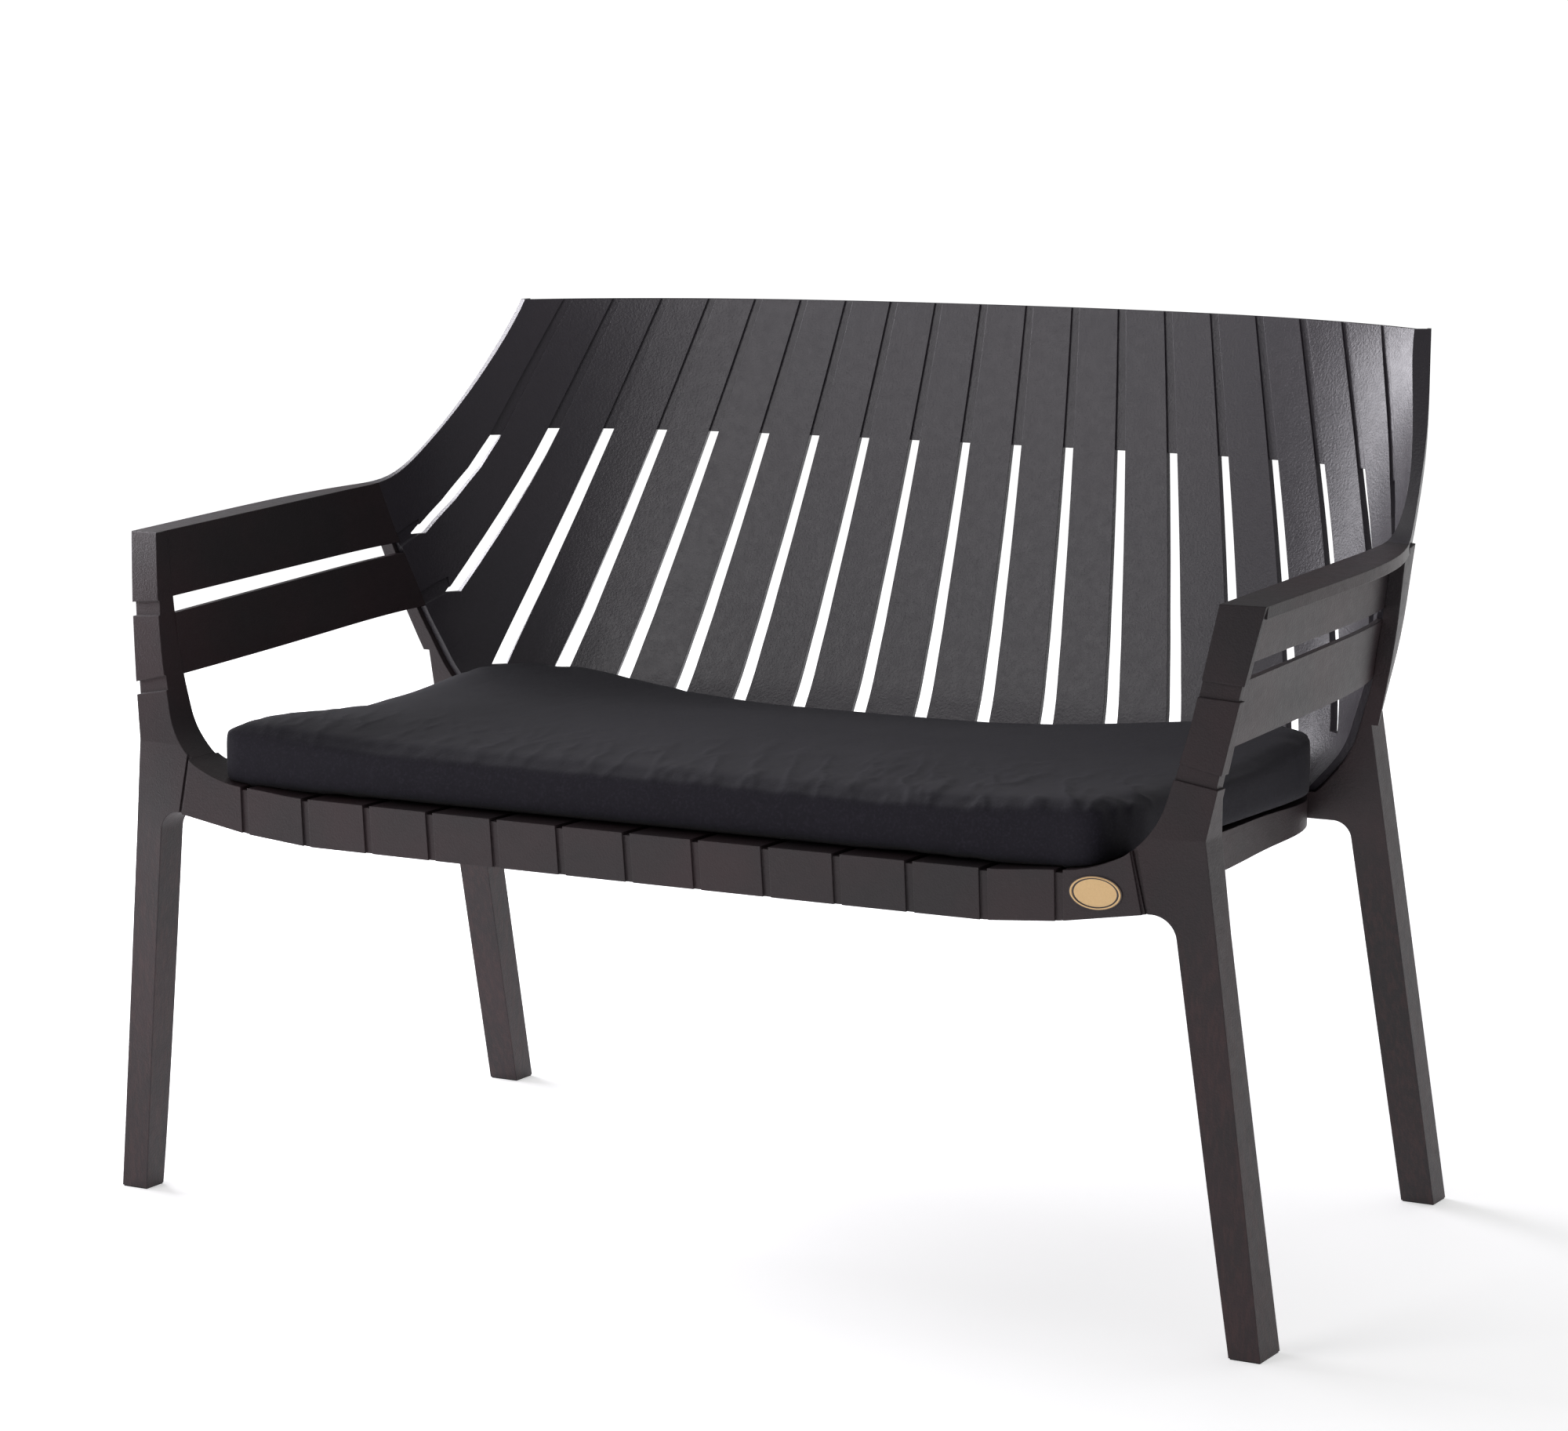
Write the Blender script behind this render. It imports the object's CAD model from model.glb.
"""Looks of the garden bench: espresso resin, a dark woven cushion and a plain oval plate, in a white studio."""
import bmesh
import bpy
from math import cos, exp, hypot, pi, radians, sin
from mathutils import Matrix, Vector, noise
from mathutils.bvhtree import BVHTree


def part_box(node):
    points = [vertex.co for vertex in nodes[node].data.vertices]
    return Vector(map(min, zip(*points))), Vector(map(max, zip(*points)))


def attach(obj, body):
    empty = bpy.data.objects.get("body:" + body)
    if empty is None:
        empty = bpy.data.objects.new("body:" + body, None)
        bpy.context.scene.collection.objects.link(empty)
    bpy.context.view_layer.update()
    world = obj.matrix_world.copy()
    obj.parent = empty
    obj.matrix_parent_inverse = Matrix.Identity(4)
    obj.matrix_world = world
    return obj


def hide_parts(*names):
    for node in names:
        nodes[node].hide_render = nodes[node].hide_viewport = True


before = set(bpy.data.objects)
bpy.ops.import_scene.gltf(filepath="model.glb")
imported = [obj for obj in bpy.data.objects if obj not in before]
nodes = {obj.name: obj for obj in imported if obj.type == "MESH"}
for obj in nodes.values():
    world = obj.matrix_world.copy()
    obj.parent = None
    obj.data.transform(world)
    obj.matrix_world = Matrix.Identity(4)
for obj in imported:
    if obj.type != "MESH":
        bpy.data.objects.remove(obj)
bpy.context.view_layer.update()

# ---------------------------------------------------------------- sizes, in metres
CAMERA_PLACE = (1.984, -3.5715, 1.078)
CAMERA_TURN = (81.37, 0.0, 29.49)        # degrees
CAMERA_LENS = 101.5

CUSHION_FRONT_HALF = 0.455               # half width across the front corners
CUSHION_WIDEST_Y = -0.2705               # the sides run straight behind this
CUSHION_RADII = (0.022, 0.06, 0.1)       # front corners, where the sides straighten, rear corners
SEAM_LOW_Z, SEAM_HIGH_Z = 0.4066, 0.445
SWELL = 0.008
DECK_Z = 0.4005
VOXEL = 0.006
PRESSURE, CLOTH_STIFFNESS, BENDING_STIFFNESS, CLOTH_FRAMES = 4.0, 25, 3, 20
STITCH_PITCH, STITCH_OFFSET, STITCH_HALF_WIDTH = 0.0035, 0.0042, 0.0006
FRONT_FOLD, SOFT_FOLD = 0.0026, 0.0010   # heights of the cushion's wrinkles

FLOOR_SIZE = 30.0
ROOM_LIGHT, ROOM_SEEN = 0.27, 1.05
FLOOR_GLOW = (0.50, 0.85)                # near the bench, and from three metres away


# ---------------------------------------------------------------- node helpers
class Shader:
    """Short ways to add and join the nodes of one material."""

    def __init__(self, name):
        self.material = bpy.data.materials.new(name)
        self.material.use_nodes = True
        self.tree = self.material.node_tree
        self.bsdf = self.tree.nodes["Principled BSDF"]
        self.place = self.add("ShaderNodeTexCoord").outputs["Object"]

    def add(self, kind, **values):
        node = self.tree.nodes.new(kind)
        for key, value in values.items():
            setattr(node, key, value)
        return node

    def feed(self, socket, value):
        if isinstance(value, bpy.types.NodeSocket):
            self.tree.links.new(value, socket)
        else:
            socket.default_value = value

    def stretched(self, scale, source=None):
        node = self.add("ShaderNodeMapping")
        self.feed(node.inputs["Vector"], source or self.place)
        node.inputs["Scale"].default_value = scale
        return node.outputs["Vector"]

    def noise(self, scale, detail=3.0, roughness=0.55, source=None):
        node = self.add("ShaderNodeTexNoise")
        self.feed(node.inputs["Vector"], source or self.place)
        node.inputs["Scale"].default_value = scale
        node.inputs["Detail"].default_value = detail
        node.inputs["Roughness"].default_value = roughness
        return node.outputs["Fac"]

    def cells(self, scale):
        node = self.add("ShaderNodeTexVoronoi", feature="SMOOTH_F1")
        self.feed(node.inputs["Vector"], self.place)
        node.inputs["Scale"].default_value = scale
        return node.outputs["Distance"]

    def math(self, operation, a, b=0.5, clamp=False):
        node = self.add("ShaderNodeMath", operation=operation, use_clamp=clamp)
        self.feed(node.inputs[0], a)
        self.feed(node.inputs[1], b)
        return node.outputs[0]

    def spread(self, value, low, high, to_low, to_high):
        node = self.add("ShaderNodeMapRange")
        for name, number in (
            ("Value", value), ("From Min", low), ("From Max", high), ("To Min", to_low), ("To Max", to_high)
        ):
            self.feed(node.inputs[name], number)
        return node.outputs["Result"]

    def mix(self, share, first, second):
        node = self.add("ShaderNodeMix", data_type="RGBA")
        self.feed(node.inputs["Factor"], share)
        self.feed(node.inputs[6], first)
        self.feed(node.inputs[7], second)
        return node.outputs[2]

    def axis(self, name, source=None):
        node = self.add("ShaderNodeSeparateXYZ")
        self.feed(node.inputs[0], source or self.place)
        return node.outputs[name]

    def bump(self, height, distance, strength=1.0, normal=None):
        node = self.add("ShaderNodeBump")
        self.feed(node.inputs["Height"], height)
        node.inputs["Distance"].default_value = distance
        node.inputs["Strength"].default_value = strength
        if normal is not None:
            self.feed(node.inputs["Normal"], normal)
        return node.outputs["Normal"]

    def soft_edges(self, radius):
        node = self.add("ShaderNodeBevel", samples=4)
        node.inputs["Radius"].default_value = radius
        return node.outputs["Normal"]

    def attribute(self, name):
        return self.add("ShaderNodeAttribute", attribute_name=name).outputs["Fac"]

    def finish(self, **sockets):
        for name, value in sockets.items():
            self.feed(self.bsdf.inputs[name.replace("_", " ")], value)
        return self.material


# ---------------------------------------------------------------- materials
def resin(name, body, warm, grain, roughness, arris=0.0012, mottle=0.0, gloss=0.28):
    """Moulded resin with a fine leathery stipple. Below the seat, mottle adds reddish fibres along the legs."""
    s = Shader(name)
    patches = s.spread(s.noise(9.0, 4.0), 0.35, 0.65, 0.0, 1.0)
    colour = s.mix(patches, body, warm)
    fibres = s.noise(220.0, 5.0, 0.7, s.stretched((1.0, 1.0, 0.22)))
    fibre_share = s.spread(fibres, 0.46, 0.62, 0.0, 1.0)
    low = s.spread(s.axis("Z"), 0.40, 0.30, 0.0, mottle)
    colour = s.mix(s.math("MULTIPLY", fibre_share, low), colour, (0.062, 0.030, 0.030, 1))
    stipple = s.cells(grain)
    fine = s.noise(grain * 1.7, 2.0)
    normal = s.bump(s.math("ADD", stipple, fine), 0.0005, 0.34, s.soft_edges(arris))
    waves = s.noise(14.0, 2.0)
    normal = s.bump(waves, 0.004, 0.02, normal)
    rough = s.spread(s.noise(110.0, 3.0), 0.3, 0.7, roughness - 0.03, roughness + 0.03)
    return s.finish(Base_Color=colour, Roughness=rough, Normal=normal, Specular_IOR_Level=gloss)


def woven(name, colour, lighter, pitch, seam=False):
    """Plain weave laid over the piece from whichever side it faces, with a little fuzz."""
    s = Shader(name)
    geometry = s.add("ShaderNodeNewGeometry").outputs["Normal"]
    facing_up = s.math("GREATER_THAN", s.math("ABSOLUTE", s.axis("Z", geometry)), 0.7)
    facing_side = s.math("GREATER_THAN", s.math("ABSOLUTE", s.axis("X", geometry)), 0.7)
    x, y, z = s.axis("X"), s.axis("Y"), s.axis("Z")

    def choose(share, first, second):
        kept = s.math("MULTIPLY", first, s.math("SUBTRACT", 1.0, share))
        return s.math("ADD", kept, s.math("MULTIPLY", second, share))

    warp = s.math("SINE", s.math("MULTIPLY", choose(facing_side, x, y), 2 * pi / pitch))
    weft = s.math("SINE", s.math("MULTIPLY", choose(facing_up, z, y), 2 * pi / pitch))
    weave = s.math("MULTIPLY", warp, weft)
    slubs = s.noise(500.0, 3.0, 0.6, s.stretched((1.0, 0.15, 1.0)))
    patches = s.noise(18.0, 4.0)
    share = s.math("MULTIPLY", s.math("ADD", slubs, s.math("MULTIPLY", patches, 0.8)), 0.55)
    tint = s.mix(share, colour, lighter)
    flecks = s.spread(s.noise(420.0, 2.0), 0.50, 0.72, 0.0, 0.26)
    tint = s.mix(flecks, tint, tuple(2.2 * c for c in lighter[:3]) + (1,))
    height = s.math("ADD", s.math("MULTIPLY", weave, 0.5), slubs)
    normal = s.bump(height, 0.0003, 0.5)
    creases = s.noise(34.0, 5.0, 0.5, s.stretched((1.0, 0.45, 1.0)))
    normal = s.bump(creases, 0.0030, 0.38, normal)
    if seam:
        near = s.attribute("seam_distance")
        crease = s.spread(near, 0.0, 0.0022, 0.0, 1.0)
        stitches = s.math("SINE", s.math("MULTIPLY", s.attribute("seam_along"), 2 * pi / STITCH_PITCH))
        from_stitches = s.math("ABSOLUTE", s.math("SUBTRACT", near, STITCH_OFFSET))
        band = s.math("LESS_THAN", from_stitches, STITCH_HALF_WIDTH)
        thread = s.math("MULTIPLY", band, s.math("GREATER_THAN", stitches, -0.2))
        normal = s.bump(s.math("ADD", crease, s.math("MULTIPLY", thread, 0.5)), 0.0012, 0.9, normal)
        tint = s.mix(s.spread(near, 0.0, 0.0022, 0.95, 0.0), tint, (0.001, 0.001, 0.0015, 1))
        tint = s.mix(s.math("MULTIPLY", band, 0.5), tint, (0.04, 0.038, 0.05, 1))
    return s.finish(
        Base_Color=tint, Roughness=0.86, Normal=normal, Sheen_Weight=0.06, Sheen_Roughness=0.5,
        Specular_IOR_Level=0.16,
    )


def metal(name, colour, roughness, metallic=1.0):
    s = Shader(name)
    scratches = s.noise(900.0, 4.0, 0.6, s.stretched((1.0, 0.1, 1.0)))
    rough = s.spread(scratches, 0.3, 0.7, roughness - 0.08, roughness + 0.10)
    shade = s.mix(s.noise(60.0, 3.0), colour, tuple(0.7 * c for c in colour[:3]) + (1,))
    normal = s.bump(scratches, 0.0001, 0.3, s.soft_edges(0.0003))
    return s.finish(Base_Color=shade, Metallic=metallic, Roughness=rough, Normal=normal)


def plate_finish(middle, size):
    """Beige oval with a dark line inside its rim and a plain darker field, without lettering."""
    s = Shader("plate_finish")
    x = s.math("DIVIDE", s.math("SUBTRACT", s.axis("X"), middle[0]), size[0] / 2)
    z = s.math("DIVIDE", s.math("SUBTRACT", s.axis("Z"), middle[2]), size[2] / 2)
    out = s.math("POWER", s.math("ADD", s.math("MULTIPLY", x, x), s.math("MULTIPLY", z, z)), 0.5)
    ring = s.math("LESS_THAN", s.math("ABSOLUTE", s.math("SUBTRACT", out, 0.84)), 0.035)
    edge = s.math("GREATER_THAN", out, 0.955)
    grain = s.noise(700.0, 4.0)
    field = s.mix(grain, (0.74, 0.50, 0.24, 1), (0.62, 0.40, 0.18, 1))
    colour = s.mix(s.math("MAXIMUM", ring, edge), field, (0.03, 0.02, 0.02, 1))
    normal = s.bump(grain, 0.0002, 0.3, s.soft_edges(0.0003))
    return s.finish(Base_Color=colour, Roughness=0.38, Normal=normal)


def plain_floor():
    s = Shader("studio_floor")
    shade = s.mix(s.noise(3.0), (0.93, 0.93, 0.93, 1), (0.90, 0.90, 0.905, 1))
    away = s.add("ShaderNodeVectorMath", operation="LENGTH")
    s.feed(away.inputs[0], s.place)
    glow = s.spread(away.outputs["Value"], 0.8, 3.0, *FLOOR_GLOW)
    return s.finish(
        Base_Color=shade, Roughness=0.6, Specular_IOR_Level=0.1,
        Emission_Color=(1, 1, 1, 1), Emission_Strength=glow,
    )


# ---------------------------------------------------------------- the moulded parts
ESPRESSO, ESPRESSO_WARM = (0.0215, 0.0175, 0.0195, 1), (0.0310, 0.0190, 0.0215, 1)
BACK_BODY, BACK_WARM = (0.0275, 0.0240, 0.0312, 1), (0.0295, 0.0246, 0.0318, 1)
back_resin = resin("back_resin", BACK_BODY, BACK_WARM, 420.0, 0.36, 0.0010, gloss=0.5)
arm_resin = resin("arm_resin", ESPRESSO, ESPRESSO_WARM, 520.0, 0.42, 0.0012)
leg_resin = resin("leg_resin", ESPRESSO, ESPRESSO_WARM, 560.0, 0.44, 0.0016, 0.38)
seat_resin = resin("seat_resin", ESPRESSO, ESPRESSO_WARM, 520.0, 0.42, 0.0010)
glide_plastic = resin("glide_plastic", (0.015, 0.015, 0.015, 1), (0.02, 0.02, 0.02, 1), 700.0, 0.5)
steel = metal("screw_steel", (0.55, 0.55, 0.56, 1), 0.32)
zip_enamel = metal("zip_enamel", (0.02, 0.02, 0.022, 1), 0.35, 0.3)


def dress(node, material):
    mesh = nodes[node].data
    mesh.materials.clear()
    mesh.materials.append(material)


plate_low, plate_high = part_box("maker_plate")
plate_paint = plate_finish((plate_low + plate_high) / 2, plate_high - plate_low)
for name in nodes:
    if name == "back_panel":
        dress(name, back_resin)
    elif name.startswith("arm"):
        dress(name, arm_resin)
    elif "_leg_" in name and "screws" not in name:
        dress(name, leg_resin)
    elif "glide" in name:
        dress(name, glide_plastic)
    elif name.endswith("screws"):
        dress(name, steel)
    elif name == "maker_plate":
        dress(name, plate_paint)
    elif name in ("seat_panel", "post_screw_caps"):
        dress(name, seat_resin)
    elif name in ("cushion_zip_slider", "cushion_zip_pull"):
        dress(name, zip_enamel)


# ---------------------------------------------------------------- cushion
def rounded(corners, radii, steps=10):
    """Outline through corners, each rounded by an arc of its own radius."""
    points = []
    count = len(corners)
    for i, (corner, radius) in enumerate(zip(corners, radii)):
        corner = Vector(corner)
        before = (Vector(corners[i - 1]) - corner).normalized()
        after = (Vector(corners[(i + 1) % count]) - corner).normalized()
        half = before.angle(after) / 2
        reach = radius / abs(sin(half) / cos(half))
        middle = corner + (before + after).normalized() * (radius / sin(half))
        start, end = corner + before * reach - middle, corner + after * reach - middle
        turn = start.angle_signed(end)
        for step in range(steps + 1):
            angle = -turn * step / steps
            points.append(middle + Vector((
                start.x * cos(angle) - start.y * sin(angle), start.x * sin(angle) + start.y * cos(angle)
            )))
    return points


cover_low, cover_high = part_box("cushion_cover_top")


def cushion_outline(inset):
    front, rear, side = cover_low.y + inset, cover_high.y - inset, cover_high.x - inset
    right = [(CUSHION_FRONT_HALF - inset, front), (side, CUSHION_WIDEST_Y), (side, rear)]
    corners = right + [(-x, y) for x, y in right[::-1]]
    radii = [r - inset / 2 for r in CUSHION_RADII + CUSHION_RADII[::-1]]
    return rounded(corners, radii)


def boxed_mesh(outline, low, high):
    """Closed box over an outline, as an object."""
    mesh = bpy.data.meshes.new("cushion")
    shape = bmesh.new()
    bottom = shape.faces.new([shape.verts.new((p.x, p.y, low)) for p in outline])
    raised = bmesh.ops.extrude_face_region(shape, geom=[bottom])
    moved = [v for v in raised["geom"] if isinstance(v, bmesh.types.BMVert)]
    bmesh.ops.translate(shape, verts=moved, vec=(0, 0, high - low))
    bmesh.ops.recalc_face_normals(shape, faces=shape.faces)
    shape.to_mesh(mesh)
    shape.free()
    piece = bpy.data.objects.new("cushion", mesh)
    bpy.context.scene.collection.objects.link(piece)
    return piece


def apply_modifier(piece, modifier):
    bpy.context.view_layer.objects.active = piece
    bpy.ops.object.modifier_apply(modifier=modifier.name)


def remesh(piece, size):
    modifier = piece.modifiers.new("remesh", "REMESH")
    modifier.mode = "VOXEL"
    modifier.voxel_size = size
    apply_modifier(piece, modifier)


def inflate(piece, pressure, cap):
    """Swells the closed piece as cloth under pressure. No point moves further than cap."""
    before = [v.co.copy() for v in piece.data.vertices]
    modifier = piece.modifiers.new("cloth", "CLOTH")
    settings = modifier.settings
    settings.use_pressure = True
    settings.uniform_pressure_force = pressure
    settings.effector_weights.gravity = 0.0
    settings.tension_stiffness = CLOTH_STIFFNESS
    settings.compression_stiffness = CLOTH_STIFFNESS
    settings.bending_stiffness = BENDING_STIFFNESS
    scene = bpy.context.scene
    for step in range(1, CLOTH_FRAMES + 1):
        scene.frame_set(step)
    apply_modifier(piece, modifier)
    scene.frame_set(1)
    for vertex, start in zip(piece.data.vertices, before):
        move = vertex.co - start
        if move.length > cap:
            vertex.co = start + move * (cap / move.length)


def smooth_step(low, high, value):
    part = min(1.0, max(0.0, (value - low) / (high - low)))
    return part * part * (3 - 2 * part)


def lift(x, y):
    """How far the cushion is raised at its front and rear corners, and lowered behind the middle."""
    front = smooth_step(-0.12, -0.33, y) * smooth_step(0.25, 0.46, abs(x)) * 0.009
    rear_share = smooth_step(-0.05, 0.17, y)
    rear = rear_share * (-0.011 + 0.026 * smooth_step(0.10, 0.46, abs(x)))
    return front + rear


def wrinkles(x, y):
    """Shallow pulls that run from the front edge into the seat."""
    along = Vector((x * 26 + y * 9, y * 7, 0.3))
    near_front = smooth_step(-0.05, -0.30, y) * (0.35 + 0.65 * smooth_step(-0.2, 0.4, x))
    fold = (1 - min(1.0, 2.2 * abs(noise.fractal(along, 0.9, 2.2, 3)))) ** 2 * FRONT_FOLD * near_front
    return fold + noise.noise(Vector((x * 6, y * 6, 1.7))) * SOFT_FOLD


def make_cushion():
    piece = boxed_mesh(cushion_outline(0.006), SEAM_LOW_Z, SEAM_HIGH_Z)
    remesh(piece, VOXEL)
    inflate(piece, PRESSURE, SWELL)
    modifier = piece.modifiers.new("smooth", "SUBSURF")
    modifier.levels = modifier.render_levels = 1
    apply_modifier(piece, modifier)

    outline = cushion_outline(0.003)
    lengths = [0.0]
    for first, second in zip(outline, outline[1:] + outline[:1]):
        lengths.append(lengths[-1] + (second - first).length)
    mesh = piece.data
    rest = bench_surface()
    near, along = [], []
    edge_reach = 0.022
    for vertex in mesh.vertices:
        x, y, z = vertex.co
        spot, run = closest_on(outline, lengths, Vector((x, y)))
        edge = hypot(x - spot.x, y - spot.y)
        seam_gap = min(hypot(edge, z - SEAM_HIGH_Z), hypot(edge, z - SEAM_LOW_Z))
        near.append(seam_gap)
        along.append(run)
        pinch = 0.0024 * exp(-(seam_gap / 0.0040) ** 2)
        inward = Vector((-x, -y, SEAM_LOW_Z / 2 + SEAM_HIGH_Z / 2 - z))
        vertex.co += inward.normalized() * pinch
        height = (z - SEAM_LOW_Z) / (SEAM_HIGH_Z - SEAM_LOW_Z)
        rise = lift(x, y) * min(1.0, max(0.0, height))
        if height > 0.9:
            rise += wrinkles(x, y) * smooth_step(0.0, edge_reach, edge)
        vertex.co.z += rise
        keep_clear(vertex.co, rest)
    for name, values in (("seam_distance", near), ("seam_along", along)):
        mesh.attributes.new(name, "FLOAT", "POINT").data.foreach_set("value", values)
    mesh.shade_smooth()
    mesh.materials.append(cushion_cloth)
    return piece


def closest_on(outline, lengths, point):
    """Nearest place on a closed outline, and how far along it lies."""
    best, result = 1e9, None
    for i, first in enumerate(outline):
        second = outline[(i + 1) % len(outline)]
        run = second - first
        part = min(1.0, max(0.0, (point - first).dot(run) / max(run.length_squared, 1e-12)))
        spot = first + run * part
        gap = (point - spot).length_squared
        if gap < best:
            best, result = gap, (spot, lengths[i] + run.length * part)
    return result


def bench_surface():
    """Search trees of the moulded parts that the cushion rests among."""
    trees = []
    names = ["seat_panel", "back_panel", "front_leg_left", "front_leg_right", "rear_leg_left", "rear_leg_right"]
    for name in names:
        mesh = nodes[name].data
        trees.append(BVHTree.FromPolygons([v.co for v in mesh.vertices], [p.vertices for p in mesh.polygons]))
    return trees


def keep_clear(place, trees, gap=0.0008):
    """Brings a point of the cushion in from the tub's wall and up from the deck and the ears."""
    start = Vector((max(-0.36, min(0.36, place.x)), max(-0.2, min(0.06, place.y)), max(place.z, 0.412)))
    reach = Vector((place.x, place.y, start.z)) - start
    if reach.length > 0.02:
        for tree in trees:
            hit = tree.ray_cast(start, reach.normalized(), reach.length + gap)
            if hit[0] is not None and start.z > 0.425:
                place.xy = (hit[0] - reach.normalized() * gap).xy
                reach = Vector((place.x, place.y, start.z)) - start
    place.z = max(place.z, DECK_Z)
    for tree in trees:
        hit = tree.ray_cast(Vector((place.x, place.y, 0.50)), Vector((0, 0, -1)), 0.12)
        if hit[0] is not None and hit[0].z + gap > place.z:
            place.z = hit[0].z + gap


NAVY_BLACK, NAVY_LIGHTER = (0.0070, 0.0064, 0.0100, 1), (0.0145, 0.0128, 0.0192, 1)
cushion_cloth = woven("cushion_cloth", NAVY_BLACK, NAVY_LIGHTER, 0.0011, seam=True)
cushion = make_cushion()
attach(cushion, "cushion")
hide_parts("cushion_cover_top", "cushion_cover_border", "cushion_cover_bottom", "cushion_foam_core")


# ---------------------------------------------------------------- zip
def ribbon(name, points, half_width, lift_y, material, thickness=0.0006):
    """Flat band with rounded long edges that stands behind the cushion's rear border."""
    mesh = bpy.data.meshes.new(name)
    shape = bmesh.new()
    profile = [(0.0, -1.0), (0.7, -0.96), (1.0, -0.8), (1.0, 0.8), (0.7, 0.96), (0.0, 1.0)]
    rings = []
    for x, y, z in points:
        rings.append([
            shape.verts.new((x, y + lift_y + thickness * a, z + half_width * b)) for a, b in profile
        ])
    for first, second in zip(rings, rings[1:]):
        for i in range(len(profile)):
            j = (i + 1) % len(profile)
            shape.faces.new((first[i], first[j], second[j], second[i]))
    shape.faces.new(rings[0][::-1])
    shape.faces.new(rings[-1])
    bmesh.ops.recalc_face_normals(shape, faces=shape.faces)
    shape.to_mesh(mesh)
    shape.free()
    mesh.shade_smooth()
    mesh.materials.append(material)
    piece = bpy.data.objects.new(name, mesh)
    bpy.context.scene.collection.objects.link(piece)
    return piece


def coil(name, start, end, y, z, radius, pitch, material):
    """Nylon coil of the zip: one helix along X."""
    data = bpy.data.curves.new(name, "CURVE")
    data.dimensions = "3D"
    data.bevel_depth = 0.00035
    data.bevel_resolution = 1
    turns = int((end - start) / pitch)
    per_turn = 6
    line = data.splines.new("POLY")
    line.points.add(turns * per_turn)
    for i, point in enumerate(line.points):
        angle = 2 * pi * i / per_turn
        point.co = (start + pitch * i / per_turn, y + 0.5 * radius * cos(angle), z + radius * sin(angle), 1)
    data.materials.append(material)
    piece = bpy.data.objects.new(name, data)
    bpy.context.scene.collection.objects.link(piece)
    return piece


tape_low, tape_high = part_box("cushion_zip_tape")
zip_z = (tape_low.z + tape_high.z) / 2
rear_tree = BVHTree.FromObject(cushion, bpy.context.evaluated_depsgraph_get())
route = []
STATIONS = 60
for i in range(STATIONS + 1):
    x = tape_low.x + (tape_high.x - tape_low.x) * i / STATIONS
    reach = max(
        (rear_tree.ray_cast(Vector((x, 0.30, zip_z + dz)), Vector((0, -1, 0)))[0] or Vector((0, tape_high.y, 0))).y
        for dz in (-0.006, 0.0, 0.006)
    )
    route.append((x, min(reach, tape_high.y), zip_z))
tape_cloth = woven("tape_cloth", (0.012, 0.012, 0.016, 1), (0.02, 0.02, 0.026, 1), 0.0008)
tape = ribbon("zip_tape", route, (tape_high.z - tape_low.z) / 2, -0.0002, tape_cloth)
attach(tape, "cushion")
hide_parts("cushion_zip_tape")
teeth = coil(
    "zip_coil", tape_low.x + 0.004, tape_high.x - 0.004, tape_high.y + 0.0001, zip_z, 0.0024, 0.0016, zip_enamel
)
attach(teeth, "cushion")


# ---------------------------------------------------------------- studio
def studio():
    mesh = bpy.data.meshes.new("studio_floor")
    shape = bmesh.new()
    bmesh.ops.create_grid(shape, x_segments=8, y_segments=8, size=FLOOR_SIZE)
    shape.to_mesh(mesh)
    shape.free()
    floor = bpy.data.objects.new("studio_floor", mesh)
    mesh.materials.append(plain_floor())
    bpy.context.scene.collection.objects.link(floor)

    # The room lights the bench softly, and is seen as plain white.
    world = bpy.data.worlds.new("studio")
    world.use_nodes = True
    tree = world.node_tree
    light = tree.nodes["Background"]
    seen = tree.nodes.new("ShaderNodeBackground")
    for background, strength in ((light, ROOM_LIGHT), (seen, ROOM_SEEN)):
        background.inputs["Color"].default_value = (1, 1, 1, 1)
        background.inputs["Strength"].default_value = strength
    path = tree.nodes.new("ShaderNodeLightPath")
    choice = tree.nodes.new("ShaderNodeMixShader")
    tree.links.new(path.outputs["Is Camera Ray"], choice.inputs[0])
    tree.links.new(light.outputs[0], choice.inputs[1])
    tree.links.new(seen.outputs[0], choice.inputs[2])
    tree.links.new(choice.outputs[0], tree.nodes["World Output"].inputs["Surface"])
    bpy.context.scene.world = world


def softbox(name, place, target, size, power, colour=(1, 1, 1)):
    data = bpy.data.lights.new(name, "AREA")
    data.shape = "RECTANGLE"
    data.size, data.size_y = size
    data.energy = power
    data.color = colour
    lamp = bpy.data.objects.new(name, data)
    lamp.location = place
    lamp.rotation_euler = (Vector(target) - Vector(place)).to_track_quat("-Z", "Y").to_euler()
    bpy.context.scene.collection.objects.link(lamp)


studio()
softbox("key", (-1.6, -3.4, 2.6), (0, 0, 0.5), (2.0, 2.0), 40, (1.0, 0.98, 1.0))
softbox("left", (-3.0, 0.5, 1.4), (0.5, 0.15, 0.6), (2.4, 2.2), 150, (0.96, 0.94, 1.0))
softbox("overhead", (0.0, 0.8, 3.4), (0, 0, 0.4), (3.0, 2.0), 14)

camera_data = bpy.data.cameras.new("camera")
camera_data.sensor_width = 36.0
camera_data.lens = CAMERA_LENS
camera = bpy.data.objects.new("camera", camera_data)
camera.location = CAMERA_PLACE
camera.rotation_euler = [radians(angle) for angle in CAMERA_TURN]
bpy.context.scene.collection.objects.link(camera)
bpy.context.scene.camera = camera
bpy.context.scene.view_settings.view_transform = "Standard"
